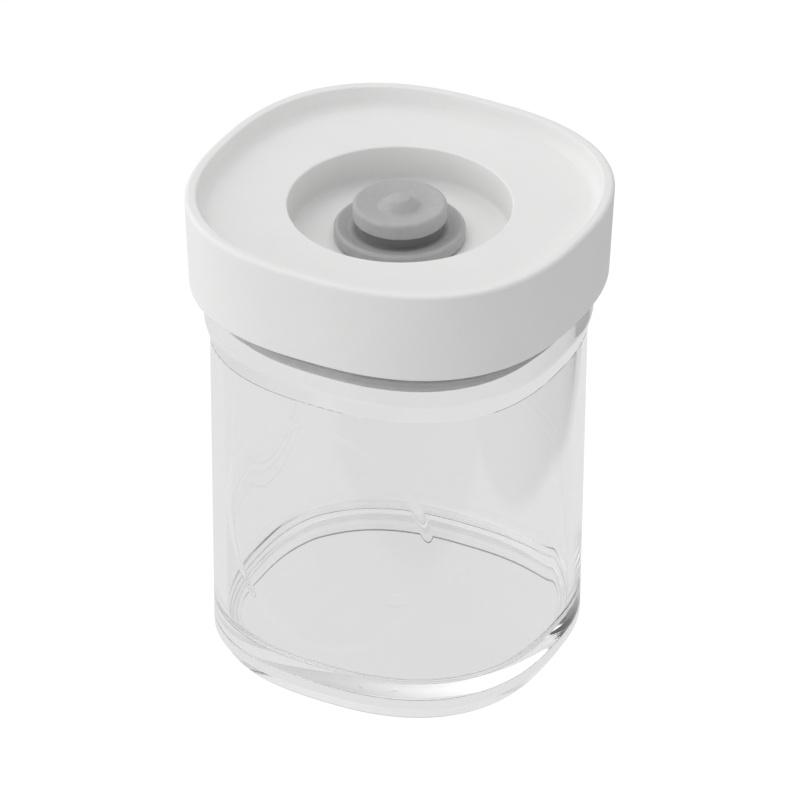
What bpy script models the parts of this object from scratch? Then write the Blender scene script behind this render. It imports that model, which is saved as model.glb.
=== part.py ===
"""A clear square jar for spices, with a lift-off lid that seals it and a soft valve that lets air back in.

The jar is one clear moulding with bowed sides, a collar round its mouth and a foot that stacks into
the dish of another lid. The lid is a cover with a round well and, joined under it, a plug that
carries the sealing ring into the mouth. The valve is one soft moulding, pulled through the well's floor.
Lengths are in metres, +Z is up, and the origin is the middle of the foot on the table.
"""
import math

import bmesh
import bpy

# Outline shared by every squared piece
BODY_WIDTH = 0.0743
BODY_DEPTH = 0.0718
SQUARENESS = 2.48
ROUNDNESS = 2.0
SQUARE_SEGMENTS = 60
ROUND_SEGMENTS = 36
ARC_STEP = math.radians(45)
FINE_ARC_STEP = math.radians(20)
EDGE_STEP = math.radians(90)
SHARP_ANGLE = math.radians(50)

# Jar
JAR_HEIGHT = 0.0985
JAR_WALL = 0.0025
BODY_DRAFT = 0.0005
COLLAR_HEIGHT = 0.0248
COLLAR_STEP = 0.00115
COLLAR_SLOPE = 0.0046
COLLAR_BEND = 0.0060
JAR_RIM_RADIUS = 0.0010
FOOT_HEIGHT = 0.0040
FOOT_INSET = 0.0022
FOOT_RING = 0.0020
FOOT_EDGE = 0.0009
FOOT_INNER_EDGE = 0.0007
FOOT_SHOULDER = 0.0004
RECESS_DEPTH = 0.0050
RECESS_CORNER = 0.0028
FLOOR_THICKNESS = 0.0028
FLOOR_CORNER = 0.0022

# Fits between the pieces
SKIRT_CLEARANCE = 0.0004
PLUG_CLEARANCE = 0.0006
SEAT_GAP = 0.0003
STEM_CLEARANCE = 0.0004

# Lid cover
LID_HEIGHT = 0.0205
SKIRT_WALL = 0.0024
SKIRT_FLARE = 0.0009
SKIRT_EDGE = 0.0008
LID_RIM_WIDTH = 0.0023
LID_RIM_OUTER_EDGE = 0.0009
LID_RIM_INNER_EDGE = 0.0004
DISH_DEPTH = 0.0039
DISH_SLOPE = 0.0006
DISH_CORNER = 0.0032
DECK_THICKNESS = 0.0022
DECK_CORNER = 0.0010
WELL_RADIUS = 0.0230
WELL_DEPTH = 0.0077
WELL_DRAFT = 0.0004
WELL_EDGE = 0.0004
WELL_CORNER = 0.0012
WELL_WALL = 0.0020
VENT_RADIUS = 0.0011
VENT_CIRCLE = 0.0085
VENT_COUNT = 6
VENT_SEGMENTS = 10
CUT_OVERRUN = 0.0010

# Lid plug
PLUG_FLANGE = 0.0014
PLUG_WALL = 0.0018
PLUG_EDGE = 0.0003
GROOVE_DEPTH = 0.0021
GROOVE_LAND = 0.00065
GROOVE_LAND_INSET = 0.0011

# Sealing ring
GASKET_DROP = 0.0182
GASKET_HEIGHT = 0.0045
GASKET_CORE = 0.0012
GASKET_LOWER_LIP = 0.0022
GASKET_LIP_RISE = 0.0010
GASKET_LIP_TAPER = 0.0009
GASKET_UPPER_LIP = 0.0010
GASKET_LIP_SLOPE = 0.0004
GASKET_EDGE = 0.0003

# Valve
VALVE_LIFT = 0.0018
STEM_RADIUS = 0.0032
STEM_BOSS_RADIUS = 0.0052
BULB_RADIUS = 0.0048
BULB_BAND = 0.0008
BULB_HEIGHT = 0.0044
BULB_TIP_RADIUS = 0.0022
BULB_EDGE = 0.0003
FLANGE_RADIUS = 0.0135
FLANGE_BAND = 0.0021
FLANGE_HEIGHT = 0.0027
FLANGE_CREST_RADIUS = 0.0128
FLANGE_LIP = 0.0014
FLANGE_HOLLOW = 0.0006
SAUCER_DIP = 0.0016
NECK_RADIUS = 0.0086
KNOB_RADIUS = 0.0097
KNOB_UNDERSIDE = 0.0038
KNOB_THICKNESS = 0.0042
KNOB_EDGE = 0.0008
KNOB_LOWER_EDGE = 0.0003
KNOB_DISH = 0.0009
KNOB_DISH_RADIUS = 0.0058
NUB_RADIUS = 0.0046
NUB_TOP_RADIUS = 0.0014
NUB_HEIGHT = 0.0019
SOFT_EDGE = 0.0004

# Reaches: half widths across X, for pieces that share the squared outline
BODY_REACH = BODY_WIDTH / 2
SIDE_DIFFERENCE = (BODY_WIDTH - BODY_DEPTH) / 2
COLLAR_REACH = BODY_REACH + COLLAR_STEP
MOUTH_REACH = BODY_REACH - JAR_WALL
BASE_REACH = BODY_REACH - BODY_DRAFT
FOOT_REACH = BASE_REACH - FOOT_INSET
RECESS_REACH = FOOT_REACH - FOOT_RING
FLOOR_REACH = BASE_REACH - JAR_WALL
SKIRT_INNER_REACH = COLLAR_REACH + SKIRT_CLEARANCE
SKIRT_REACH = SKIRT_INNER_REACH + SKIRT_WALL
LID_REACH = SKIRT_REACH + SKIRT_FLARE
PLUG_REACH = MOUTH_REACH - PLUG_CLEARANCE
PLUG_INNER_REACH = PLUG_REACH - PLUG_WALL
GROOVE_REACH = PLUG_REACH - GROOVE_DEPTH
GROOVE_INNER_REACH = GROOVE_REACH - PLUG_WALL
LAND_REACH = PLUG_REACH - GROOVE_LAND_INSET
GASKET_REACH = MOUTH_REACH - SEAT_GAP
GASKET_INNER_REACH = GROOVE_REACH + SEAT_GAP
GASKET_CORE_REACH = GASKET_INNER_REACH + GASKET_CORE

# Heights of the jar, from the table
FLOOR_TOP = RECESS_DEPTH + FLOOR_THICKNESS
COLLAR_FOOT = JAR_HEIGHT - COLLAR_HEIGHT
COLLAR_SHOULDER = COLLAR_FOOT + COLLAR_SLOPE

# Heights of the lid, from the jar's rim
FLANGE_TOP = SEAT_GAP + PLUG_FLANGE
DECK_UNDERSIDE = FLANGE_TOP + SEAT_GAP
DECK_TOP = DECK_UNDERSIDE + DECK_THICKNESS
LID_TOP = DECK_TOP + DISH_DEPTH
SKIRT_BOTTOM = LID_TOP - LID_HEIGHT
WELL_FLOOR = DECK_TOP - WELL_DEPTH
WELL_UNDERSIDE = WELL_FLOOR - WELL_WALL
GASKET_BOTTOM = -GASKET_DROP
GASKET_TOP = GASKET_BOTTOM + GASKET_HEIGHT
GROOVE_BOTTOM = GASKET_BOTTOM - SEAT_GAP
GROOVE_TOP = GASKET_TOP + SEAT_GAP
PLUG_BOTTOM = GROOVE_BOTTOM - GROOVE_LAND
PLUG_JOG = GROOVE_TOP + PLUG_WALL

# Radii and heights of the valve, from the well's floor
STEM_HOLE_RADIUS = STEM_RADIUS + STEM_CLEARANCE
WELL_FLOOR_RADIUS = WELL_RADIUS - WELL_DRAFT
WELL_OUTER_RADIUS = WELL_RADIUS + WELL_WALL
BULB_TOP = -WELL_WALL - SEAT_GAP - VALVE_LIFT
BULB_SHOULDER = BULB_TOP - BULB_BAND
BULB_BOTTOM = BULB_TOP - BULB_HEIGHT
FLANGE_UNDERSIDE = SEAT_GAP
FLANGE_SHOULDER = FLANGE_UNDERSIDE + FLANGE_BAND
FLANGE_CREST = FLANGE_UNDERSIDE + FLANGE_HEIGHT
HOLLOW_RADIUS = FLANGE_RADIUS - FLANGE_LIP
HOLLOW_TOP = FLANGE_UNDERSIDE + FLANGE_HOLLOW
NECK_FOOT = FLANGE_CREST - SAUCER_DIP
KNOB_BOTTOM = FLANGE_UNDERSIDE + KNOB_UNDERSIDE
KNOB_TOP = KNOB_BOTTOM + KNOB_THICKNESS
KNOB_DISH_FLOOR = KNOB_TOP - KNOB_DISH
NUB_TOP = KNOB_DISH_FLOOR + NUB_HEIGHT


def remove_everything():
    """Empties the scene that Blender starts with."""
    for thing in list(bpy.data.objects):
        bpy.data.objects.remove(thing, do_unlink=True)


def finish(name, colour, roughness, transmission=0.0, ior=1.5):
    """A Principled BSDF material; a clear one lets light through."""
    material = bpy.data.materials.new(name)
    material.use_nodes = True
    shader = material.node_tree.nodes["Principled BSDF"]
    shader.inputs["Base Color"].default_value = (*colour, 1.0)
    shader.inputs["Roughness"].default_value = roughness
    shader.inputs["Metallic"].default_value = 0.0
    shader.inputs["Transmission Weight"].default_value = transmission
    shader.inputs["IOR"].default_value = ior
    material.diffuse_color = (*colour, 1.0)
    return material


def squared(reach, height, radius=0.0, step=ARC_STEP):
    """A corner of a profile whose outline there is the bowed square."""
    return reach, height, radius, SQUARENESS, SIDE_DIFFERENCE, step


def circular(reach, height, radius=0.0, step=ARC_STEP):
    """A corner of a profile whose outline there is a circle."""
    return reach, height, radius, ROUNDNESS, 0.0, step


def rounded(before, corner, after):
    """The points that round a corner of a profile, or the corner itself where it is sharp."""
    reach, height, radius, squareness, difference, step = corner
    into = (before[0] - reach, before[1] - height)
    out = (after[0] - reach, after[1] - height)
    into_length = math.hypot(*into)
    out_length = math.hypot(*out)
    into = (into[0] / into_length, into[1] / into_length)
    out = (out[0] / out_length, out[1] / out_length)
    opening = math.acos(max(-1.0, min(1.0, into[0] * out[0] + into[1] * out[1])))
    turn = math.pi - opening
    if radius == 0.0 or turn < FINE_ARC_STEP / 4:
        return [(reach, height, squareness, difference)]
    setback = min(radius * math.tan(turn / 2), into_length / 2, out_length / 2)
    radius = setback / math.tan(turn / 2)
    middle = (into[0] + out[0], into[1] + out[1])
    middle_length = math.hypot(*middle)
    distance = radius / math.cos(turn / 2)
    centre = (reach + middle[0] / middle_length * distance, height + middle[1] / middle_length * distance)
    start = (reach + into[0] * setback - centre[0], height + into[1] * setback - centre[1])
    side = 1.0 if into[0] * out[1] - into[1] * out[0] < 0.0 else -1.0
    count = max(1, round(turn / step))
    points = []
    for index in range(count + 1):
        angle = side * turn * index / count
        x = start[0] * math.cos(angle) - start[1] * math.sin(angle)
        z = start[0] * math.sin(angle) + start[1] * math.cos(angle)
        points.append((centre[0] + x, centre[1] + z, squareness, difference))
    return points


def profile(corners, closed):
    """All points of a profile, its corners rounded; an open one keeps its two ends as they are."""
    points = []
    for index, corner in enumerate(corners):
        at_end = index in (0, len(corners) - 1)
        if at_end and not closed:
            points.append((corner[0], corner[1], corner[3], corner[4]))
        else:
            points += rounded(corners[index - 1], corner, corners[(index + 1) % len(corners)])
    return points


def outline(reach, height, squareness, difference, segments):
    """Points round the axis: a circle, or a square with bowed sides and soft corners."""
    points = []
    for index in range(segments):
        angle = math.tau * index / segments
        across = math.cos(angle)
        along = math.sin(angle)
        length = (abs(across) ** squareness + abs(along) ** squareness) ** (-1 / squareness)
        points.append((reach * length * across, (reach - difference) * length * along, height))
    return points


def lofted(name, corners, closed, segments, material, parent=None):
    """One body swept round the axis along a profile; an open profile is capped at both ends."""
    mesh = bpy.data.meshes.new(name)
    body = bmesh.new()
    rings = []
    for point in profile(corners, closed):
        rings.append([body.verts.new(place) for place in outline(*point, segments)])
    pairs = list(zip(rings, rings[1:]))
    if closed:
        pairs.append((rings[-1], rings[0]))
    for lower, upper in pairs:
        for index in range(segments):
            following = (index + 1) % segments
            body.faces.new((lower[index], lower[following], upper[following], upper[index]))
    if not closed:
        body.faces.new(rings[0])
        body.faces.new(rings[-1])
    bmesh.ops.recalc_face_normals(body, faces=body.faces)
    body.to_mesh(mesh)
    body.free()
    mesh.shade_smooth()
    mesh.set_sharp_from_angle(angle=SHARP_ANGLE)
    mesh.materials.append(material)
    thing = bpy.data.objects.new(name, mesh)
    bpy.context.collection.objects.link(thing)
    thing.parent = parent
    return thing


def axis_mark(name, height, parent=None):
    """An empty that a moving piece hangs from, on its axis of travel."""
    empty = bpy.data.objects.new(name, None)
    empty.location = (0.0, 0.0, height)
    bpy.context.collection.objects.link(empty)
    empty.parent = parent
    return empty


def make_jar(material):
    """The clear jar, from the middle of its underside round the rim to the middle of its floor."""
    corners = [
        squared(RECESS_REACH / 2, RECESS_DEPTH),
        squared(RECESS_REACH, RECESS_DEPTH, RECESS_CORNER),
        squared(RECESS_REACH, 0.0, FOOT_INNER_EDGE),
        squared(FOOT_REACH, 0.0, FOOT_EDGE),
        squared(BASE_REACH, FOOT_HEIGHT, FOOT_SHOULDER),
        squared(BODY_REACH, COLLAR_FOOT),
        squared(COLLAR_REACH, COLLAR_SHOULDER, COLLAR_BEND, FINE_ARC_STEP / 2),
        squared(COLLAR_REACH, JAR_HEIGHT, JAR_RIM_RADIUS),
        squared(MOUTH_REACH, JAR_HEIGHT, JAR_RIM_RADIUS),
        squared(FLOOR_REACH, FLOOR_TOP, FLOOR_CORNER, FINE_ARC_STEP),
        squared(FLOOR_REACH / 2, FLOOR_TOP),
    ]
    return lofted("jar", corners, False, SQUARE_SEGMENTS, material)


def make_vents(cover):
    """Cuts the ring of small air holes that the valve's flange covers."""
    mesh = bpy.data.meshes.new("vent_cutter")
    body = bmesh.new()
    length = WELL_WALL + CUT_OVERRUN + CUT_OVERRUN
    for index in range(VENT_COUNT):
        angle = math.tau * (index + 0.5) / VENT_COUNT
        drilled = bmesh.ops.create_cone(
            body,
            cap_ends=True,
            segments=VENT_SEGMENTS,
            radius1=VENT_RADIUS,
            radius2=VENT_RADIUS,
            depth=length,
        )
        place = (
            VENT_CIRCLE * math.cos(angle),
            VENT_CIRCLE * math.sin(angle),
            WELL_FLOOR - WELL_WALL / 2,
        )
        bmesh.ops.translate(body, verts=drilled["verts"], vec=place)
    body.to_mesh(mesh)
    body.free()
    cutter = bpy.data.objects.new("vent_cutter", mesh)
    bpy.context.collection.objects.link(cutter)
    cutter.parent = cover.parent
    cutter.hide_render = True
    cutter.display_type = "WIRE"
    cut = cover.modifiers.new("Vents", "BOOLEAN")
    cut.operation = "DIFFERENCE"
    cut.solver = "EXACT"
    cut.object = cutter


def make_cover(material, lid):
    """The lid's cover: skirt, rim, dish and round well, down to the hole for the valve's stem."""
    corners = [
        squared(SKIRT_REACH, SKIRT_BOTTOM, SKIRT_EDGE, EDGE_STEP),
        squared(LID_REACH, LID_TOP, LID_RIM_OUTER_EDGE),
        squared(LID_REACH - LID_RIM_WIDTH, LID_TOP, LID_RIM_INNER_EDGE),
        squared(LID_REACH - LID_RIM_WIDTH - DISH_SLOPE, DECK_TOP, DISH_CORNER, FINE_ARC_STEP),
        circular(WELL_RADIUS, DECK_TOP, WELL_EDGE),
        circular(WELL_FLOOR_RADIUS, WELL_FLOOR, WELL_CORNER),
        circular(STEM_HOLE_RADIUS, WELL_FLOOR),
        circular(STEM_HOLE_RADIUS, WELL_UNDERSIDE),
        circular(WELL_OUTER_RADIUS - WELL_DRAFT, WELL_UNDERSIDE, WELL_CORNER),
        circular(WELL_OUTER_RADIUS, DECK_UNDERSIDE, DECK_CORNER),
        squared(SKIRT_INNER_REACH, DECK_UNDERSIDE, DECK_CORNER),
        squared(SKIRT_INNER_REACH, SKIRT_BOTTOM, SKIRT_EDGE, EDGE_STEP),
    ]
    cover = lofted("lid_cover", corners, True, SQUARE_SEGMENTS, material, lid)
    make_vents(cover)
    return cover


def make_plug(material, lid):
    """The plug under the cover: a flange on the jar's rim and a wall that steps in round the groove."""
    corners = [
        squared(COLLAR_REACH, FLANGE_TOP, PLUG_EDGE, EDGE_STEP),
        squared(COLLAR_REACH, SEAT_GAP, PLUG_EDGE, EDGE_STEP),
        squared(PLUG_REACH, SEAT_GAP),
        squared(PLUG_REACH, GROOVE_TOP, PLUG_EDGE, EDGE_STEP),
        squared(GROOVE_REACH, GROOVE_TOP),
        squared(GROOVE_REACH, GROOVE_BOTTOM),
        squared(LAND_REACH, GROOVE_BOTTOM),
        squared(LAND_REACH, PLUG_BOTTOM, PLUG_EDGE, EDGE_STEP),
        squared(GROOVE_INNER_REACH, PLUG_BOTTOM, PLUG_EDGE, EDGE_STEP),
        squared(GROOVE_INNER_REACH, PLUG_JOG),
        squared(PLUG_INNER_REACH, PLUG_JOG),
        squared(PLUG_INNER_REACH, FLANGE_TOP, PLUG_EDGE, EDGE_STEP),
    ]
    return lofted("lid_plug", corners, True, SQUARE_SEGMENTS, material, lid)


def make_gasket(material, lid):
    """The soft sealing ring in the plug's groove, with two lips that meet the mouth's wall."""
    lower_lip_top = GASKET_BOTTOM + GASKET_LOWER_LIP
    upper_lip_bottom = GASKET_TOP - GASKET_UPPER_LIP
    corners = [
        squared(GASKET_INNER_REACH, GASKET_BOTTOM),
        squared(GASKET_REACH - GASKET_LIP_TAPER, GASKET_BOTTOM),
        squared(GASKET_REACH, GASKET_BOTTOM + GASKET_LIP_RISE),
        squared(GASKET_REACH, lower_lip_top, GASKET_EDGE, EDGE_STEP),
        squared(GASKET_CORE_REACH, lower_lip_top + GASKET_LIP_SLOPE),
        squared(GASKET_CORE_REACH, upper_lip_bottom - GASKET_LIP_SLOPE),
        squared(GASKET_REACH, upper_lip_bottom, GASKET_EDGE, EDGE_STEP),
        squared(GASKET_REACH, GASKET_TOP, GASKET_EDGE, EDGE_STEP),
        squared(GASKET_INNER_REACH, GASKET_TOP),
    ]
    return lofted("lid_gasket", corners, True, SQUARE_SEGMENTS, material, lid)


def make_valve(material, lift):
    """The soft valve: bulb and stem below the floor, a flange that covers the vents, and a knob."""
    corners = [
        circular(BULB_TIP_RADIUS / 2, BULB_BOTTOM),
        circular(BULB_TIP_RADIUS, BULB_BOTTOM, SOFT_EDGE),
        circular(BULB_RADIUS, BULB_SHOULDER, BULB_EDGE, EDGE_STEP),
        circular(BULB_RADIUS, BULB_TOP, BULB_EDGE, EDGE_STEP),
        circular(STEM_RADIUS, BULB_TOP),
        circular(STEM_RADIUS, FLANGE_UNDERSIDE),
        circular(STEM_BOSS_RADIUS, FLANGE_UNDERSIDE),
        circular(STEM_BOSS_RADIUS, HOLLOW_TOP, SOFT_EDGE),
        circular(HOLLOW_RADIUS, HOLLOW_TOP, SOFT_EDGE),
        circular(HOLLOW_RADIUS, FLANGE_UNDERSIDE),
        circular(FLANGE_RADIUS, FLANGE_UNDERSIDE, KNOB_LOWER_EDGE, EDGE_STEP),
        circular(FLANGE_RADIUS, FLANGE_SHOULDER, SOFT_EDGE),
        circular(FLANGE_CREST_RADIUS, FLANGE_CREST, SOFT_EDGE, FINE_ARC_STEP),
        circular(NECK_RADIUS, NECK_FOOT, SOFT_EDGE),
        circular(NECK_RADIUS, KNOB_BOTTOM),
        circular(KNOB_RADIUS, KNOB_BOTTOM, KNOB_LOWER_EDGE, EDGE_STEP),
        circular(KNOB_RADIUS, KNOB_TOP, KNOB_EDGE),
        circular(KNOB_DISH_RADIUS, KNOB_DISH_FLOOR, KNOB_EDGE),
        circular(NUB_RADIUS, KNOB_DISH_FLOOR, KNOB_EDGE),
        circular(NUB_TOP_RADIUS, NUB_TOP, KNOB_EDGE),
        circular(NUB_TOP_RADIUS / 2, NUB_TOP),
    ]
    return lofted("valve", corners, False, ROUND_SEGMENTS, material, lift)


def build():
    """Makes the materials and every piece, each moving one under the empty of its joint."""
    remove_everything()
    clear = finish("clear_plastic", (0.93, 0.94, 0.94), 0.03, transmission=1.0, ior=1.57)
    white = finish("white_plastic", (0.83, 0.83, 0.82), 0.42)
    grey = finish("valve_silicone", (0.43, 0.43, 0.43), 0.55)
    pale = finish("gasket_silicone", (0.76, 0.76, 0.75), 0.50)
    make_jar(clear)
    lid = axis_mark("lid_lift", JAR_HEIGHT)
    make_cover(white, lid)
    make_plug(white, lid)
    make_gasket(pale, lid)
    valve_lift = axis_mark("valve_lift", WELL_FLOOR, lid)
    make_valve(grey, valve_lift)


build()
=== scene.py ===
# %% [markdown]
# # A clear spice jar with a valved lid
#
# This lesson dresses a finished CAD model so that a render of it looks like the real thing. The CAD
# model is loaded as a fixed frame: its sizes and its joints are right, but its outlines are made of
# short straight steps. Clear plastic shows every one of those steps, because light bends where it
# passes them. So each piece is drawn again here, much finer, in the same place.

# %% Load the frame
import math

import bpy
from mathutils import Matrix, Vector


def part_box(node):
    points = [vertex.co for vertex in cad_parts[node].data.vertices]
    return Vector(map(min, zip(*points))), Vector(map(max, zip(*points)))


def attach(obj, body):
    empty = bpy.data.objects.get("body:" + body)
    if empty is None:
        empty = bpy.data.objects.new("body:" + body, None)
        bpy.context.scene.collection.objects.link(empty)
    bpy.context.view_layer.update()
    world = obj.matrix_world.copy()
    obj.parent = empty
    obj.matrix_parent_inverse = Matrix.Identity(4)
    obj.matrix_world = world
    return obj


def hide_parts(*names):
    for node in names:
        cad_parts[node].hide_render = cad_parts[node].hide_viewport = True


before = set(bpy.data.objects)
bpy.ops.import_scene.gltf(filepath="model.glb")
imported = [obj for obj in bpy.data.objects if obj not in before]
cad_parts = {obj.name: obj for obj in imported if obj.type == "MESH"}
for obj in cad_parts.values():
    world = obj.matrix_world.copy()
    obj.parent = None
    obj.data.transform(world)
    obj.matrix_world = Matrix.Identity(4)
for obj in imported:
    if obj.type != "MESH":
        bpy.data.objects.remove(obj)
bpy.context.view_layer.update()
print("nodes:", sorted(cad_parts))

# %% [markdown]
# ## The outline that the pieces share
#
# Seen from above, the jar, the lid and the sealing ring are squares with bowed sides and soft
# corners. A superellipse gives that outline with one number: 2 is an ellipse, and a large number is
# nearly a rectangle. The two pairs of sides differ a little in width, by the same amount on every
# piece. The boxes of the CAD nodes give the main sizes, so nothing has to be measured twice.

# %% Sizes that come from the frame
SQUARENESS = 2.48
SIDE_DIFFERENCE = 0.00125


def reach_of(node):
    """Half the width of a CAD node across X."""
    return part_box(node)[1].x


def span_of(node):
    """The lowest and highest place of a CAD node."""
    lowest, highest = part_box(node)
    return lowest.z, highest.z


COLLAR = reach_of("jar")
LID = reach_of("lid_cover")
RIM = span_of("jar")[1]
SKIRT_BOTTOM, LID_TOP = span_of("lid_cover")
print("collar and lid reach, mm:", round(COLLAR * 1000, 2), round(LID * 1000, 2))
print("rim, skirt and lid height, mm:", [round(z * 1000, 2) for z in (RIM, SKIRT_BOTTOM, LID_TOP)])

# %% [markdown]
# ## Drawing a hollow shape ring by ring
#
# A moulded jar is a closed skin: it runs from the middle of the underside, up the outside, over the
# rim and down the inside to the floor. By hand this is made from one circle: extrude the edge loop,
# move it, scale it, and again. The helpers below do the same with the same operators, because a
# profile kept as a list is easy to read and to change.
#
# A profile is a list of corners: how far out, how high, and the radius that rounds it. Where there
# is room, a short extra step stays close to each end of a rounding, so that the shading of a flat
# face isn't pulled round the corner.

# %% Profiles with rounded corners
HOLD = 0.00012
NEARLY_STRAIGHT = 0.02
EDGE_SHARE = 0.48
SMALL_RADIUS = 0.0008
COARSE_STEP = math.radians(12)
FINE_STEP = math.radians(6)


def arc(before, corner, after):
    """The points that round one corner, with one more at each end that holds the flat."""
    reach, height, radius = corner
    into = Vector((before[0] - reach, before[1] - height))
    out = Vector((after[0] - reach, after[1] - height))
    turn = math.pi - into.angle(out)
    if radius == 0.0 or turn < NEARLY_STRAIGHT:
        return [(reach, height)]
    longest = min(into.length, out.length) * EDGE_SHARE
    setback = min(radius * math.tan(turn / 2), longest)
    radius = setback / math.tan(turn / 2)
    here = Vector((reach, height))
    start = here + into.normalized() * setback
    end = here + out.normalized() * setback
    middle = (into.normalized() + out.normalized()).normalized()
    centre = here + middle * (radius / math.cos(turn / 2))
    steps = max(3, math.ceil(turn / (COARSE_STEP if radius < SMALL_RADIUS else FINE_STEP)))
    side = 1 if into.cross(out) < 0 else -1
    room = setback * 2 + HOLD * 3
    points = []
    if into.length > room:
        points.append(start + into.normalized() * HOLD)
    for step in range(steps + 1):
        swing = Matrix.Rotation(side * turn * step / steps, 2)
        points.append(centre + swing @ (start - centre))
    if out.length > room:
        points.append(end + out.normalized() * HOLD)
    return [(point.x, point.y) for point in points]


def rounded(corners, closed):
    """All points of a profile; an open one keeps its two ends."""
    points = []
    last = len(corners) - 1
    for index, corner in enumerate(corners):
        if not closed and index in (0, last):
            points.append((corner[0], corner[1]))
        else:
            points += arc(corners[index - 1], corner, corners[(index + 1) % len(corners)])
    return points


print("points on a test corner:", len(arc((0.0, 0.0), (0.01, 0.0, 0.002), (0.01, 0.01))))

# %% Opening and closing a mesh
SAME_HEIGHT = 0.00001


def open_mesh(piece):
    """Selects one piece alone and goes into its mesh."""
    bpy.ops.object.select_all(action="DESELECT")
    bpy.context.view_layer.objects.active = piece
    piece.select_set(True)
    bpy.ops.object.mode_set(mode="EDIT")
    bpy.ops.mesh.select_mode(type="EDGE")


def leave_mesh():
    """Back to whole objects."""
    bpy.ops.object.mode_set(mode="OBJECT")


def select_open_edges(piece, height=None):
    """Selects the open rings of a mesh: all of them, or only those at one height."""
    bpy.ops.mesh.select_all(action="DESELECT")
    bpy.ops.mesh.select_non_manifold(
        extend=False, use_wire=False, use_multi_face=False, use_verts=False
    )
    if height is None:
        return
    leave_mesh()
    places = piece.data.vertices
    kept = [
        edge.index
        for edge in piece.data.edges
        if edge.select
        and all(abs(places[end].co.z - height) < SAME_HEIGHT for end in edge.vertices)
    ]
    open_mesh(piece)
    bpy.ops.mesh.select_all(action="DESELECT")
    leave_mesh()
    for index in kept:
        piece.data.edges[index].select = True
    open_mesh(piece)


print("edge helpers are ready")

# %% Drawing out, joining and closing
CRISP_ANGLE = math.radians(35)


def draw(name, corners, segments, squareness=2.0, difference=0.0, closed=False):
    """One circle, bent to the outline, then extruded and scaled along a profile."""
    points = rounded(corners, closed)
    bpy.ops.object.select_all(action="DESELECT")
    bpy.ops.mesh.primitive_circle_add(vertices=segments, radius=1.0, fill_type="NOTHING")
    piece = bpy.context.object
    piece.name = name
    piece.data.name = name
    reach, height = points[0]
    for vertex in piece.data.vertices:
        angle = math.atan2(vertex.co.y, vertex.co.x)
        across, along = math.cos(angle), math.sin(angle)
        far = (abs(across) ** squareness + abs(along) ** squareness) ** (-1 / squareness)
        vertex.co = (reach * far * across, (reach - difference) * far * along, height)
    open_mesh(piece)
    bpy.ops.mesh.select_all(action="SELECT")
    for (near, low), (far, high) in zip(points, points[1:]):
        scale = (far / near, (far - difference) / (near - difference), 1.0)
        bpy.ops.mesh.extrude_edges_move(TRANSFORM_OT_translate={"value": (0.0, 0.0, high - low)})
        bpy.ops.transform.resize(value=scale, center_override=(0.0, 0.0, 0.0))
    leave_mesh()
    return piece


def bridge(piece, height=None):
    """Joins two open rings with faces."""
    open_mesh(piece)
    select_open_edges(piece, height)
    bpy.ops.mesh.bridge_edge_loops()
    leave_mesh()


def fill_ends(piece):
    """Closes the small open rings in the middle of a piece's two ends."""
    open_mesh(piece)
    select_open_edges(piece)
    bpy.ops.mesh.edge_face_add()
    leave_mesh()


def smooth(piece):
    """Turns all faces outwards and smooths every edge that isn't a crisp one."""
    open_mesh(piece)
    bpy.ops.mesh.select_all(action="SELECT")
    bpy.ops.mesh.normals_make_consistent(inside=False)
    leave_mesh()
    bpy.ops.object.shade_smooth_by_angle(angle=CRISP_ANGLE)
    print(piece.name, "has", len(piece.data.polygons), "faces")


# %% [markdown]
# ## The jar
#
# The jar is one clear moulding with walls of 2.5 mm. Its sides taper a little, for the mould. At
# the top it swells into a collar, over a crease no deeper than a hair. At the bottom it draws in
# to a foot, and the underside is hollowed out so that the jar stands on a narrow ring. A box with
# bevels could give the outside, but the inside has to run even with it, so all of the jar is one
# profile. The radii in the base matter most: each one bends a bright or a dark line into view.

# %% Draw the jar
OUTLINE_STEPS = 240

# Reaches, from the middle to a side across X.
WALL = 0.0025
BODY = COLLAR - 0.00115
MOUTH = BODY - WALL
BASE = BODY - 0.0005
FLOOR_EDGE = BASE - WALL
FOOT = BASE - 0.0022
RECESS = FOOT - 0.0012
END_RING = 0.0060
NICK = 0.00005

# Heights over the table.
FOOT_TOP = 0.0038
RECESS_TOP = 0.0047
FLOOR = RECESS_TOP + 0.0034
CREASE = RIM - 0.0248
SHOULDER = CREASE + 0.0046

jar = draw(
    "clear_jar",
    [
        (END_RING, RECESS_TOP, 0.0),
        (RECESS, RECESS_TOP, 0.0004),
        (RECESS, 0.0, 0.0006),
        (FOOT, 0.0, 0.0015),
        (BASE, FOOT_TOP, 0.0002),
        (BODY, CREASE - NICK, 0.0),
        (BODY - NICK, CREASE, 0.0),
        (COLLAR, SHOULDER, 0.0060),
        (COLLAR, RIM, 0.0010),
        (MOUTH, RIM, 0.0010),
        (FLOOR_EDGE, FLOOR, 0.0030),
        (END_RING, FLOOR, 0.0),
    ],
    OUTLINE_STEPS,
    SQUARENESS,
    SIDE_DIFFERENCE,
)
fill_ends(jar)
smooth(jar)

# %% [markdown]
# ## The lid's cover
#
# The cover is a white moulding. A skirt hangs over the collar and flares a little on its way up to
# a narrow flat rim. Inside the rim lies a shallow dish, and in the dish a round well for the valve.
# One profile can't be squared outside and round inside. So the two parts are drawn apart and joined
# by bridging their open rings, which makes the flat deck between them, and the deck's underside.

# %% Draw the squared part of the cover
SKIRT_INNER = COLLAR + 0.0004
SKIRT_OUTER = SKIRT_INNER + 0.0024
DECK = LID_TOP - 0.0039
DECK_UNDERSIDE = DECK - 0.0022
RIM_INNER = LID - 0.0023
DISH = RIM_INNER - 0.0006
DECK_RING = RIM_INNER - 0.0066
UNDERSIDE_RING = SKIRT_INNER - 0.0040

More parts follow.
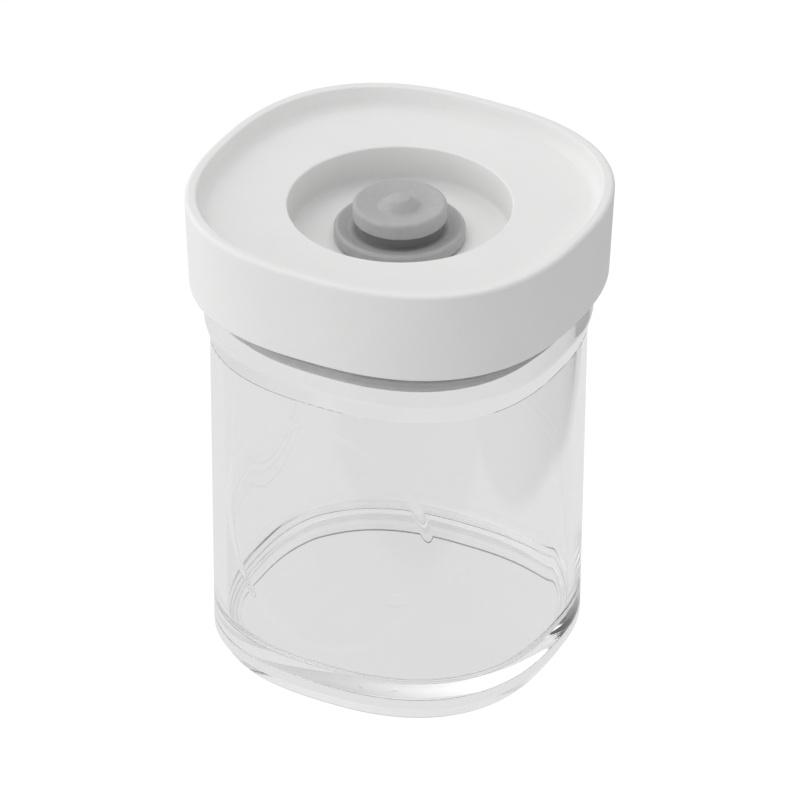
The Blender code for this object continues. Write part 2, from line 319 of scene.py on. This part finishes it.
cover = draw(
    "white_cover",
    [
        (UNDERSIDE_RING, DECK_UNDERSIDE, 0.0),
        (SKIRT_INNER, DECK_UNDERSIDE, 0.0010),
        (SKIRT_INNER, SKIRT_BOTTOM, 0.0008),
        (SKIRT_OUTER, SKIRT_BOTTOM, 0.0008),
        (LID, LID_TOP, 0.0009),
        (RIM_INNER, LID_TOP, 0.0004),
        (DISH, DECK, 0.0032),
        (DECK_RING, DECK, 0.0),
    ],
    OUTLINE_STEPS,
    SQUARENESS,
    SIDE_DIFFERENCE,
)
print("squared part:", len(cover.data.polygons), "faces")

# %% Draw the round part and bridge the two
WELL = 0.0230
WELL_DRAFT = 0.0004
WELL_OUTER = WELL + 0.0020
WELL_FLOOR = DECK - 0.0077
WELL_UNDERSIDE = WELL_FLOOR - 0.0020
STEM_HOLE = 0.0036

well = draw(
    "well",
    [
        (WELL + 0.0012, DECK, 0.0),
        (WELL, DECK, 0.0004),
        (WELL - WELL_DRAFT, WELL_FLOOR, 0.0012),
        (STEM_HOLE, WELL_FLOOR, 0.0002),
        (STEM_HOLE, WELL_UNDERSIDE, 0.0002),
        (WELL + 0.0016, WELL_UNDERSIDE, 0.0012),
        (WELL_OUTER, DECK_UNDERSIDE, 0.0010),
        (WELL + 0.0040, DECK_UNDERSIDE, 0.0),
    ],
    OUTLINE_STEPS,
)
bpy.ops.object.select_all(action="DESELECT")
well.select_set(True)
cover.select_set(True)
bpy.context.view_layer.objects.active = cover
bpy.ops.object.join()
bridge(cover, DECK)
bridge(cover, DECK_UNDERSIDE)
print("cover before its air holes:", len(cover.data.polygons), "faces")

# %% [markdown]
# ## The air holes
#
# Six small holes in the well's floor let air into the jar when the valve is pulled up. They are cut
# with one cutter of six pins, because a Boolean with one cutter is quicker and safer than six.

# %% Cut the air holes
AIR_HOLES = 6
AIR_HOLE = 0.0011
HOLE_CIRCLE = 0.0085
PIN_LENGTH = 0.0040
PIN_HEIGHT = WELL_FLOOR - 0.0010

pins = []
for number in range(AIR_HOLES):
    turn = math.tau * (number + 0.5) / AIR_HOLES
    middle = (HOLE_CIRCLE * math.cos(turn), HOLE_CIRCLE * math.sin(turn), PIN_HEIGHT)
    bpy.ops.object.select_all(action="DESELECT")
    bpy.ops.mesh.primitive_cylinder_add(
        vertices=32, radius=AIR_HOLE, depth=PIN_LENGTH, location=middle
    )
    pins.append(bpy.context.object)
for pin in pins:
    pin.select_set(True)
bpy.context.view_layer.objects.active = pins[0]
bpy.ops.object.join()
cutter = bpy.context.object
cut = cover.modifiers.new("Air holes", "BOOLEAN")
cut.operation = "DIFFERENCE"
cut.solver = "EXACT"
cut.object = cutter
bpy.context.view_layer.objects.active = cover
bpy.ops.object.modifier_apply(modifier=cut.name)
bpy.data.objects.remove(cutter, do_unlink=True)
smooth(cover)

# %% [markdown]
# ## The plug and the sealing ring
#
# Under the cover, a plug reaches into the jar's mouth. It carries the pale sealing ring in a
# groove. Both have a profile that closes on itself, so the last ring is bridged back to the first.
# Through the clear collar the sealing ring shows as a grey band, because it lies in the skirt's
# shade.

# %% Draw the plug
GASKET_BOTTOM, GASKET_TOP = span_of("lid_gasket")
PLUG_BOTTOM, PLUG_TOP = span_of("lid_plug")
PLUG_STEPS = 200
PLUG = MOUTH - 0.0006
PLUG_WALL = 0.0018
GROOVE = PLUG - 0.0021
LAND = PLUG - 0.0011
SEAT = 0.0003
GROOVE_TOP = GASKET_TOP + SEAT
GROOVE_BOTTOM = GASKET_BOTTOM - SEAT

plug = draw(
    "white_plug",
    [
        (COLLAR, PLUG_TOP, 0.0003),
        (COLLAR, RIM + SEAT, 0.0003),
        (PLUG, RIM + SEAT, 0.0002),
        (PLUG, GROOVE_TOP, 0.0003),
        (GROOVE, GROOVE_TOP, 0.0001),
        (GROOVE, GROOVE_BOTTOM, 0.0001),
        (LAND, GROOVE_BOTTOM, 0.0001),
        (LAND, PLUG_BOTTOM, 0.0003),
        (GROOVE - PLUG_WALL, PLUG_BOTTOM, 0.0003),
        (GROOVE - PLUG_WALL, GROOVE_TOP + PLUG_WALL, 0.0003),
        (PLUG - PLUG_WALL, GROOVE_TOP + PLUG_WALL, 0.0003),
        (PLUG - PLUG_WALL, PLUG_TOP, 0.0003),
    ],
    PLUG_STEPS,
    SQUARENESS,
    SIDE_DIFFERENCE,
    closed=True,
)
bridge(plug)
smooth(plug)

# %% Draw the sealing ring
GASKET = MOUTH - SEAT
GASKET_INNER = GROOVE + SEAT
CORE = GASKET_INNER + 0.0012
LIP_TAPER = 0.0009
LIP_HEIGHT = 0.0010
LOWER_LIP = 0.0022
LIP_SLOPE = 0.0004

gasket = draw(
    "sealing_ring",
    [
        (GASKET_INNER, GASKET_BOTTOM, 0.0002),
        (GASKET - LIP_TAPER, GASKET_BOTTOM, 0.0003),
        (GASKET, GASKET_BOTTOM + LIP_HEIGHT, 0.0004),
        (GASKET, GASKET_BOTTOM + LOWER_LIP, 0.0004),
        (CORE, GASKET_BOTTOM + LOWER_LIP + LIP_SLOPE, 0.0003),
        (CORE, GASKET_TOP - LIP_HEIGHT - LIP_SLOPE, 0.0003),
        (GASKET, GASKET_TOP - LIP_HEIGHT, 0.0003),
        (GASKET, GASKET_TOP, 0.0003),
        (GASKET_INNER, GASKET_TOP, 0.0002),
    ],
    OUTLINE_STEPS,
    SQUARENESS,
    SIDE_DIFFERENCE,
    closed=True,
)
bridge(gasket)
smooth(gasket)

# %% [markdown]
# ## The valve
#
# The valve is one soft grey moulding. From below it has a bulb that was pulled through the floor,
# a stem, a flange like a saucer that lies on the air holes, a neck, and a knob to pull. The knob's
# top is dished, with a small rise in its middle. The valve could be spun about its axis, but the
# same drawing from a circle gives it too, with no new helper.

# %% Draw the valve
VALVE_STEPS = 160

# Reaches, from the axis outwards.
STEM = 0.0032
BULB_REACH = 0.0048
BOSS = 0.0052
FLANGE_REACH = 0.0135
FLANGE_LIP = 0.0121
CREST_REACH = 0.0128
SAUCER_REACH = 0.0108
NECK_FOOT = 0.0084
NECK_HEAD = 0.0080
KNOB_REACH = 0.0097
KNOB_DISH = 0.0058
NUB_FOOT = 0.0042
NUB_TOP = 0.0021

# Heights.
BULB = WELL_UNDERSIDE - 0.0021
BULB_TIP = BULB - 0.0044
FLANGE = WELL_FLOOR + 0.0003
FLANGE_HOLLOW = FLANGE + 0.0006
KNOB = FLANGE + 0.0044
KNOB_TOP = KNOB + 0.0036

valve = draw(
    "soft_valve",
    [
        (0.0004, BULB_TIP, 0.0),
        (0.0022, BULB_TIP, 0.0009),
        (BULB_REACH, BULB - 0.0008, 0.0006),
        (BULB_REACH, BULB, 0.0003),
        (STEM, BULB, 0.0002),
        (STEM, FLANGE, 0.0002),
        (BOSS, FLANGE, 0.0002),
        (BOSS, FLANGE_HOLLOW, 0.0003),
        (FLANGE_LIP, FLANGE_HOLLOW, 0.0003),
        (FLANGE_LIP, FLANGE, 0.0002),
        (FLANGE_REACH, FLANGE, 0.0004),
        (FLANGE_REACH, FLANGE + 0.0021, 0.0005),
        (CREST_REACH, FLANGE + 0.0026, 0.0005),
        (SAUCER_REACH, FLANGE + 0.0019, 0.0020),
        (NECK_FOOT, FLANGE + 0.0017, 0.0002),
        (NECK_HEAD, KNOB, 0.0002),
        (KNOB_REACH, KNOB, 0.0003),
        (KNOB_REACH, KNOB_TOP, 0.0008),
        (KNOB_DISH, KNOB_TOP - 0.0009, 0.0040),
        (NUB_FOOT, KNOB_TOP - 0.0012, 0.0012),
        (NUB_TOP, KNOB_TOP + 0.0010, 0.0012),
        (0.0003, KNOB_TOP + 0.0012, 0.0),
    ],
    VALVE_STEPS,
)
fill_ends(valve)
smooth(valve)

# %% [markdown]
# ## Shader maths as plain sums
#
# A finish is a small formula: a colour that wanders a little, a gloss that differs from place to
# place, a grain that the light catches. Nodes make such a formula, but a long chain of them is hard
# to read. The class below wraps one output of a node, so that plus, minus and times between two of
# them add the Math node that they stand for. One method makes every other kind of node.

# %% Sockets that add, and finishes that hold them


class Socket:
    """One output of a node. Sums with it add Math nodes to its finish."""

    def __init__(self, finish, output):
        self.finish = finish
        self.output = output

    def maths(self, operation, first, second):
        """The Math node that a sum stands for."""
        return self.finish.node("Math", {"operation": operation}, {0: first, 1: second})

    def __add__(self, other):
        return self.maths("ADD", self, other)

    def __radd__(self, other):
        return self.maths("ADD", other, self)

    def __sub__(self, other):
        return self.maths("SUBTRACT", self, other)

    def __rsub__(self, other):
        return self.maths("SUBTRACT", other, self)

    def __mul__(self, other):
        return self.maths("MULTIPLY", self, other)

    def __rmul__(self, other):
        return self.maths("MULTIPLY", other, self)


class Finish:
    """The nodes of a material or of the sky. What is the same all over is set on the shader."""

    def __init__(self, owner, constants, shader="Principled BSDF"):
        owner.use_nodes = True
        self.material = owner
        self.nodes = owner.node_tree.nodes
        self.links = owner.node_tree.links
        self.shader = self.nodes[shader]
        self.feed(self.shader, constants)

    def feed(self, node, inputs):
        """Sets or links the inputs of a node."""
        for name, value in inputs.items():
            if isinstance(value, Socket):
                self.links.new(value.output, node.inputs[name])
            else:
                node.inputs[name].default_value = value

    def node(self, kind, settings, inputs, output=0):
        """Any node: its kind, its settings, what goes in, and which output is wanted."""
        made = self.nodes.new("ShaderNode" + kind)
        for name, value in settings.items():
            setattr(made, name, value)
        self.feed(made, inputs)
        return Socket(self, made.outputs[output])

    def place(self):
        """The place on the piece, in metres."""
        return self.node("TexCoord", {}, {}, "Object")

    def noise(self, size, detail, roughness=0.5, squeeze=(1.0, 1.0, 1.0)):
        """Soft noise from 0 to 1 whose patches have about this size in metres, or streaks of it."""
        place = self.node("VectorMath", {"operation": "MULTIPLY"}, {0: self.place(), 1: squeeze})
        inputs = {"Vector": place, "Scale": 1.0 / size, "Detail": detail, "Roughness": roughness}
        return self.node("TexNoise", {}, inputs, "Fac")

    def ramp(self, value, low, high):
        """0 up to one limit, 1 from the other on, and a soft step between."""
        inputs = {"Value": value, "From Min": low, "From Max": high}
        return self.node("MapRange", {"interpolation_type": "SMOOTHSTEP"}, inputs, "Result")

    def between(self, share, first, second):
        """Two colours mixed by a share. A Mix node has its colours on inputs 6 and 7."""
        inputs = {0: share, 6: (*first, 1.0), 7: (*second, 1.0)}
        return self.node("Mix", {"data_type": "RGBA"}, inputs, 2)

    def scaled(self, colour, share):
        """A colour made lighter or darker."""
        inputs = {0: colour, "Scale": share}
        return self.node("VectorMath", {"operation": "SCALE"}, inputs, "Vector")

    def along(self, vector, direction):
        """How far a vector reaches in a direction."""
        inputs = {0: vector, 1: direction}
        return self.node("VectorMath", {"operation": "DOT_PRODUCT"}, inputs, "Value")

    def bump(self, height):
        """A normal from a height in metres."""
        return self.node("Bump", {}, {"Strength": 1.0, "Distance": 1.0, "Height": height}, "Normal")


print("shader helpers are ready")

# %% [markdown]
# ## The clear plastic
#
# Clear food-safe plastic bends light more than water and a little more than window glass. It is
# nearly colourless: each wall takes a few parts in a hundred of the light, and the depth takes
# none, because light runs far round inside the base and would come out black.
#
# Moulding leaves slow upright waves in the skin, a round gate mark on the floor, and on the front
# face an oval field that is sunk by an eighth of a millimetre. They are so shallow that a height
# which feeds a Bump node is enough: it turns the surface at the field's edge, and the lines seen
# through it break there. The field lies on the outer skin alone, so the points of that skin are
# marked, and the material reads the mark. The ring that the jar stands on is scuffed.

# %% Make the clear plastic
FIELD_MIDDLE = 0.0416
FIELD_SQUASH = 0.876
FIELD_EDGE = (0.0222, 0.0243)
FIELD_DEPTH = 0.00013
WAVE_HEIGHT = 0.000002
GATE_EDGE = (0.0020, 0.0027)
GATE_HEIGHT = 0.00003

clear = Finish(bpy.data.materials.new("clear_plastic"), {"Transmission Weight": 1.0, "IOR": 1.57})
x, y, z = (
    clear.node("SeparateXYZ", {}, {"Vector": clear.place()}, axis) for axis in ("X", "Y", "Z")
)
cloud = clear.noise(0.018, 3.0)
clear_colour = clear.between(cloud, (0.962, 0.966, 0.965), (0.975, 0.978, 0.976))
scuff = (1.0 - clear.ramp(z, 0.0001, 0.0011)) * clear.ramp(clear.noise(0.0007, 4.0), 0.35, 0.65)
clear_gloss = 0.006 + 0.016 * clear.ramp(clear.noise(0.006, 4.0), 0.4, 0.8) + 0.06 * scuff

across = clear.node("Math", {"operation": "MULTIPLY"}, {0: x, 1: x})
upward = (z - FIELD_MIDDLE) * FIELD_SQUASH
spread = clear.node("Math", {"operation": "SQRT"}, {0: across + upward * upward})
outer_skin = clear.node("Attribute", {"attribute_name": "outer_skin"}, {}, "Fac")
front_half = 1.0 - clear.ramp(y, -0.002, 0.002)
field = FIELD_DEPTH * (clear.ramp(spread, *FIELD_EDGE) - 1.0) * outer_skin * front_half
waves = WAVE_HEIGHT * clear.noise(0.009, 1.0, 0.5, (1.0, 1.0, 0.06))
gate = clear.node("Math", {"operation": "SQRT"}, {0: across + y * y})
gate_mark = GATE_HEIGHT * clear.ramp(gate, *GATE_EDGE)
clear.feed(
    clear.shader,
    {
        "Base Color": clear_colour,
        "Roughness": clear_gloss,
        "Normal": clear.bump(field + waves + gate_mark),
    },
)
jar.data.materials.append(clear.material)
print("clear plastic:", len(clear.nodes), "nodes")

# %% Mark the jar's outer skin
NEAR_OUTLINE = 0.965
OVER_FOOT = 0.0035

skin = jar.data.attributes.new("outer_skin", "FLOAT", "POINT")
marked = 0
for vertex in jar.data.vertices:
    flat = abs(vertex.co.x / BODY) ** SQUARENESS
    deep = abs(vertex.co.y / (BODY - SIDE_DIFFERENCE)) ** SQUARENESS
    share = (flat + deep) ** (1 / SQUARENESS)
    is_outer = share > NEAR_OUTLINE and vertex.co.z > OVER_FOOT
    skin.data[vertex.index].value = 1.0 if is_outer else 0.0
    marked += is_outer
print("points on the outer skin:", marked)

# %% [markdown]
# ## The white plastic
#
# The lid is matt, with the fine even grain that a mould gets from spark erosion. Grain is not a
# colour: it is a height of a few thousandths of a millimetre, and the light does the rest. The
# colour itself only clouds a little, and the gloss rises in soft patches where hands have been.

# %% Make the white plastic
FINE_GRAIN = 0.000008
SOFT_GRAIN = 0.000010

white = Finish(bpy.data.materials.new("white_plastic"), {"IOR": 1.49})
white_cloud = white.noise(0.011, 4.0)
speckle = white.noise(0.0005, 2.0)
white_colour = white.between(
    white_cloud * 0.5 + speckle * 0.5, (0.822, 0.822, 0.818), (0.898, 0.898, 0.891)
)
white_gloss = 0.36 + 0.12 * white.ramp(white.noise(0.009, 3.0), 0.3, 0.7) + 0.05 * speckle
grain = FINE_GRAIN * white.noise(0.00024, 3.0, 0.6) + SOFT_GRAIN * white.noise(0.0011, 2.0)
white.feed(
    white.shader,
    {"Base Color": white_colour, "Roughness": white_gloss, "Normal": white.bump(grain)},
)
for piece in (cover, plug):
    piece.data.materials.append(white.material)
print("white plastic:", len(white.nodes), "nodes")

# %% [markdown]
# ## The two silicones
#
# Silicone is matt and a little waxy. The valve is mid grey, and the sealing ring is nearly white.
# Both hold fine dust, which pales their colour in small patches and takes what gloss they have. In
# the fold under the valve's knob, painted shade darkens the rubber's colour.

# %% Make the silicones
UPWARDS = (0.0, 0.0, 1.0)
LEVEL = (1.0, 1.0, 0.0)
FOLD = FLANGE + 0.0028
FOLD_BAND = (0.0009, 0.0016)
FOLD_REACH = (0.0088, 0.0104)
# Painted shade: how much the fold under the knob is darkened.
FOLD_PAINTED_SHADE = 0.45


def painted_fold_shade(rubber):
    """How much painted shade darkens the fold under the knob: most round the neck, nothing
    elsewhere.
    """
    from_fold = rubber.along(rubber.place(), UPWARDS) - FOLD
    distance = rubber.node("Math", {"operation": "ABSOLUTE"}, {0: from_fold})
    sideways = rubber.node("VectorMath", {"operation": "MULTIPLY"}, {0: rubber.place(), 1: LEVEL})
    from_axis = rubber.node("VectorMath", {"operation": "LENGTH"}, {0: sideways}, "Value")
    in_fold = 1.0 - rubber.ramp(distance, *FOLD_BAND)
    near_neck = 1.0 - rubber.ramp(from_axis, *FOLD_REACH)
    return FOLD_PAINTED_SHADE * in_fold * near_neck


def silicone(name, deep, dusty, has_painted_shade=False):
    """A matt rubber whose colour pales where fine dust sits."""
    constants = {"IOR": 1.41, "Sheen Weight": 0.12, "Sheen Roughness": 0.5}
    made = Finish(bpy.data.materials.new(name), constants)
    dust = made.ramp(made.noise(0.0016, 5.0, 0.65), 0.35, 0.75)
    colour = made.between(dust, deep, dusty)
    # Painted shade: the valve's colour is darkened in the fold under its knob.
    if has_painted_shade:
        colour = made.scaled(colour, 1.0 - painted_fold_shade(made))
    skin = 0.000005 * made.noise(0.00018, 3.0, 0.6) + 0.000008 * made.noise(0.0014, 2.0)
    made.feed(
        made.shader,
        {"Base Color": colour, "Roughness": 0.42 + 0.14 * dust, "Normal": made.bump(skin)},
    )
    print(name, "has", len(made.nodes), "nodes")
    return made.material


grey = silicone("valve_silicone", (0.445, 0.445, 0.445), (0.485, 0.485, 0.485), has_painted_shade=True)
pale = silicone("gasket_silicone", (0.74, 0.74, 0.73), (0.80, 0.80, 0.79))
valve.data.materials.append(grey)
gasket.data.materials.append(pale)

# %% [markdown]
# ## Hanging the pieces on the frame
#
# Each piece stands for one CAD node and rides on the body that the node belongs to. When the lid is
# lifted, the cover, the plug and the ring go with it, and the valve rides on its own body in turn.

# %% Hang the pieces on the frame
for piece, node, body, slot in (
    (jar, "jar", "jar", "clear_plastic"),
    (cover, "lid_cover", "lid", "white_plastic"),
    (plug, "lid_plug", "lid", "white_plastic"),
    (gasket, "lid_gasket", "lid", "gasket_silicone"),
    (valve, "valve", "valve", "valve_silicone"),
):
    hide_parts(node)
    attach(piece, body)
    print(piece.name, "stands for", node)

# %% [markdown]
# ## The camera
#
# The photograph was taken from well above the lid and from far away, so that lines hardly draw
# together. The camera stands on a sphere round the object: it is turned from the front, raised,
# and tipped a third of a degree. Its place was fitted to the outlines of the lid, the well and the
# foot.

# %% Place the camera
TURN = math.radians(27.692)
RAISE = math.radians(31.968)
TIP = math.radians(0.348)
ASIDE = 0.000276
ABOVE = 0.047085
AWAY = 1.88898
LENS = 405.0

outward = math.cos(RAISE)
back = Vector((math.sin(TURN) * outward, -math.cos(TURN) * outward, math.sin(RAISE)))
right = Vector((math.cos(TURN), math.sin(TURN), 0.0))
up = back.cross(right)
stand = right * ASIDE + up * ABOVE + back * AWAY
tipped_right = right * math.cos(TIP) + up * math.sin(TIP)
tipped_up = up * math.cos(TIP) - right * math.sin(TIP)

lens = bpy.data.cameras.new("camera")
lens.lens = LENS
lens.sensor_width = 36.0
lens.clip_start = 0.1
lens.clip_end = 50.0
camera = bpy.data.objects.new("camera", lens)
camera.matrix_world = Matrix((tipped_right, tipped_up, back)).transposed().to_4x4()
camera.location = stand
bpy.context.scene.collection.objects.link(camera)
bpy.context.scene.camera = camera
print("camera at, m:", [round(value, 3) for value in camera.location])

# %% [markdown]
# ## Table and light
#
# The jar stands on a white table. That matters more for clear plastic than any lamp: most of what
# the eye sees in it is the table, bent. The ground of the photograph is pure white, but the table
# inside the jar's walls is about a quarter dimmer, as happens where a ground was whitened later. So
# the table is pure white to the camera alone, and dimmer to every ray that has met the jar or the
# lid first. Without that, the jar's edges would vanish.
#
# Round the table hangs a tent of white cloth, brighter on the left, with an opening that the camera
# looks through. The opening and the table's front are dim, or the walls that face the camera would
# look milky. The table's right is dim too, because that side of the jar is the darker one. The
# strengths were fitted to the tones of the photograph.

# %% Lay the table
TABLE_SIZE = 24.0
SEEN_WHITE = 1.01
JAR_WHITE = 0.76
SIDE_EDGE = (0.093, 0.103)
FRONT_EDGE = (0.090, 0.100)
SIDE_DIM = 0.37
FRONT_DIM = 0.26

bpy.ops.object.select_all(action="DESELECT")
bpy.ops.mesh.primitive_plane_add(size=TABLE_SIZE)
table = bpy.context.object
table.name = "table"
paper = Finish(bpy.data.materials.new("table_paper"), {"Roughness": 0.9})
fibre = paper.noise(0.002, 4.0)
nearer = Vector((math.sin(TURN), -math.cos(TURN), 0.0))
to_right = paper.ramp(paper.along(paper.place(), right), *SIDE_EDGE)
to_left = paper.ramp(paper.along(paper.place(), -right), *SIDE_EDGE)
to_front = paper.ramp(paper.along(paper.place(), nearer), *FRONT_EDGE)
right_dim = SIDE_DIM * to_right
front_dim = FRONT_DIM * to_front * (1.0 - to_left)
dim = paper.node("Math", {"operation": "MAXIMUM"}, {0: right_dim, 1: front_dim})
seen = paper.node("LightPath", {}, {}, "Is Camera Ray")
behind = JAR_WHITE - dim
brightness = behind + (SEEN_WHITE - behind) * seen
paper_colour = paper.between(fibre, (0.99, 0.99, 0.99), (1.0, 1.0, 1.0))
paper.feed(
    paper.shader,
    {
        "Base Color": paper.between(fibre, (0.004, 0.004, 0.004), (0.005, 0.005, 0.005)),
        "Emission Color": paper.scaled(paper_colour, brightness),
        "Emission Strength": 1.0,
    },
)
table.data.materials.append(paper.material)
print("table laid")

# %% Light the tent
CAMERA_SIDE = math.radians(36)
DARKEST = 0.12

world = bpy.data.worlds.new("tent")
bpy.context.scene.world = world
tent = Finish(world, {}, "Background")
direction = tent.node("TexCoord", {}, {}, "Generated")
height = tent.along(direction, UPWARDS)
low = 1.0 - tent.ramp(height, 0.25, 0.5)
high = tent.ramp(height, 0.4, 0.9)
on_left = tent.ramp(tent.along(direction, -right), -0.5, 0.9)
on_right = tent.ramp(tent.along(direction, right), -0.5, 0.9)
in_front = tent.ramp(tent.along(direction, nearer), -0.3, 0.8)
to_camera = nearer * math.cos(CAMERA_SIDE) + Vector((0.0, 0.0, math.sin(CAMERA_SIDE)))
opening = tent.ramp(tent.along(direction, to_camera), 0.45, 0.85)
cloth = (
    0.127
    + 1.094 * on_left
    + 0.468 * on_right
    + 0.694 * high
    + (1.558 * in_front - 0.156) * low
    - 0.827 * opening
)
lit_cloth = tent.node("Math", {"operation": "MAXIMUM"}, {0: cloth, 1: DARKEST})
horizon = tent.ramp(height, 0.0, 0.12)
glow = JAR_WHITE + horizon * (lit_cloth - JAR_WHITE)
tent.feed(tent.shader, {"Color": (1.0, 1.0, 1.0, 1.0), "Strength": glow})
print("tent:", len(tent.nodes), "nodes")

# %% [markdown]
# ## How far light is followed
#
# Inside the thick base, light runs back and forth many times before it leaves. Each of those turns
# counts as a bounce, and a path that is cut short turns black. So the limits are raised.

# %% Let light run
BOUNCES = 24

settings = bpy.context.scene.cycles
settings.max_bounces = BOUNCES
settings.transmission_bounces = BOUNCES
settings.glossy_bounces = BOUNCES
bpy.context.scene.view_settings.view_transform = "Standard"
print("bounces:", settings.max_bounces)
